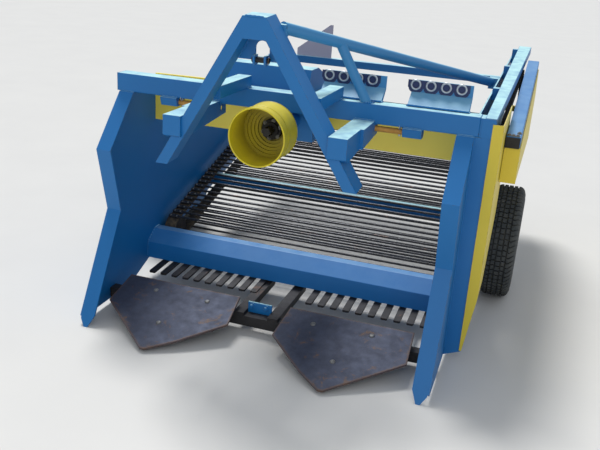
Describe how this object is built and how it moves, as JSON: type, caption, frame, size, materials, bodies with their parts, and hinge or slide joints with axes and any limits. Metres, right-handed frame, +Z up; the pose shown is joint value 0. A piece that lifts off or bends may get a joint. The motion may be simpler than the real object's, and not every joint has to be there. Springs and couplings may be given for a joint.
{
  "type": "mounted two-row elevator potato digger",
  "caption": "Three-point-hitch potato harvester: digging shares feed a shaft-driven rod web between side walls, carried on rubber-tyred wheels.",
  "frame": {"origin": "on the ground in the middle of the machine's overall box", "axes": "+X to the drive side, -Y towards the tractor and the hitch, +Y towards the discharge end, +Z up"},
  "size_m": [1.897, 2.445, 1.323],
  "materials": {
    "blue_paint": "gloss enamel, scratched and dusty",
    "yellow_paint": "gloss enamel, faded",
    "worn_steel": "bare, worked bright and dull by turns",
    "dark_steel": "black, dusty",
    "share_steel": "bare with rust at the edges",
    "grey_paint": "primer",
    "rusty_steel": "light rust",
    "belt_rubber": "matt",
    "rim_paint": "silver paint",
    "tyre_rubber": "matt"
  },
  "bodies": {
    "frame": {"side_wall_left": "blue_paint", "side_wall_right": "blue_paint", "top_beam": "blue_paint", "a_frame": "blue_paint", "hitch_brackets": "blue_paint", "hitch_pins": "rusty_steel", "mast_braces": "blue_paint", "gearbox": "blue_paint", "gearbox_hood": "blue_paint", "shaft_cone": "yellow_paint", "cross_shaft": "worn_steel", "cross_shaft_tube": "blue_paint", "drive_chain": "dark_steel", "chain_cover": "blue_paint", "chain_guard": "yellow_paint", "side_guard": "yellow_paint", "drive_side_plate": "blue_paint", "front_apron": "yellow_paint", "ring_plates": "blue_paint", "lip_rings": "dark_steel", "cross_tube": "blue_paint", "share_left": "share_steel", "share_right": "share_steel", "share_carrier": "dark_steel", "centre_bracket": "blue_paint", "finger_grates": "dark_steel", "web_rods": "worn_steel", "web_belts": "belt_rubber", "web_drive_shaft": "worn_steel", "web_rollers": "dark_steel", "web_supports": "blue_paint", "top_rail": "blue_paint", "rear_bar": "blue_paint", "rear_plate": "grey_paint", "wheel_arms": "blue_paint"},
    "drive_input": {"input_shaft": "worn_steel"},
    "wheel_left_set": {"wheel_left": "rim_paint", "tyre_left": "tyre_rubber"},
    "wheel_right_set": {"wheel_right": "rim_paint", "tyre_right": "tyre_rubber"}
  },
  "joints": [
    {"name": "input_shaft_spin", "type": "hinge", "parent": "frame", "child": "drive_input", "pos_m": [0, -0.92746, 0.89], "axis": [0, 1, 0], "continuous": true},
    {"name": "wheel_left_spin", "type": "hinge", "parent": "frame", "child": "wheel_left_set", "pos_m": [-0.876, 0.04454, 0.269], "axis": [1, 0, 0], "continuous": true},
    {"name": "wheel_right_spin", "type": "hinge", "parent": "frame", "child": "wheel_right_set", "pos_m": [0.876, 0.04454, 0.269], "axis": [1, 0, 0], "continuous": true}
  ]
}
